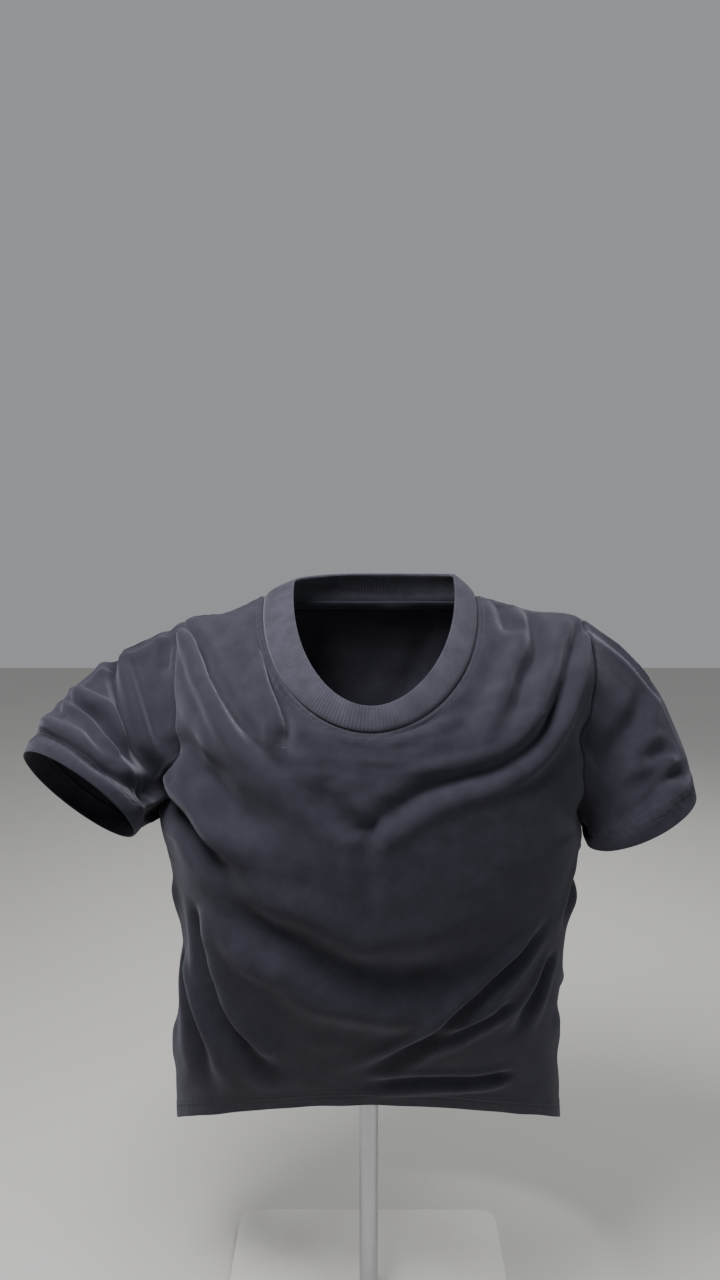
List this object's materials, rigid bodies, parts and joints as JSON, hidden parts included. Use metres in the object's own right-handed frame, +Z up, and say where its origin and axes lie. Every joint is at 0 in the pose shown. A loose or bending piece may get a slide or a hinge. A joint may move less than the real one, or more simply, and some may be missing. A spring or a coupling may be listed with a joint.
{
  "type": "short-sleeved crew-neck T-shirt",
  "caption": "Plain black short-sleeved crew-neck T-shirt, hollow and in its worn shape, on a flat-based display stand.",
  "frame": {"origin": "on the stand's flat underside, on the floor, under the middle of the chest", "axes": "+Z up, the shirt's front faces -Y, and +X is the wearer's left"},
  "size_m": [0.5974, 0.2812, 0.769],
  "materials": {
    "jersey": "matte cotton jersey knit",
    "rib_knit": "matte cotton rib knit",
    "sewing_thread": "spun polyester thread",
    "coated_steel": "satin powder coat",
    "brushed_steel": "fine brushed"
  },
  "bodies": {
    "root": {"front_panel": "jersey", "back_panel": "jersey", "right_sleeve": "jersey", "left_sleeve": "jersey", "neck_rib": "rib_knit", "stand_base": "coated_steel", "stand_socket": "coated_steel", "stand_post": "brushed_steel", "stand_hub": "coated_steel", "stand_right_arm": "brushed_steel", "stand_left_arm": "brushed_steel"}
  },
  "joints": []
}
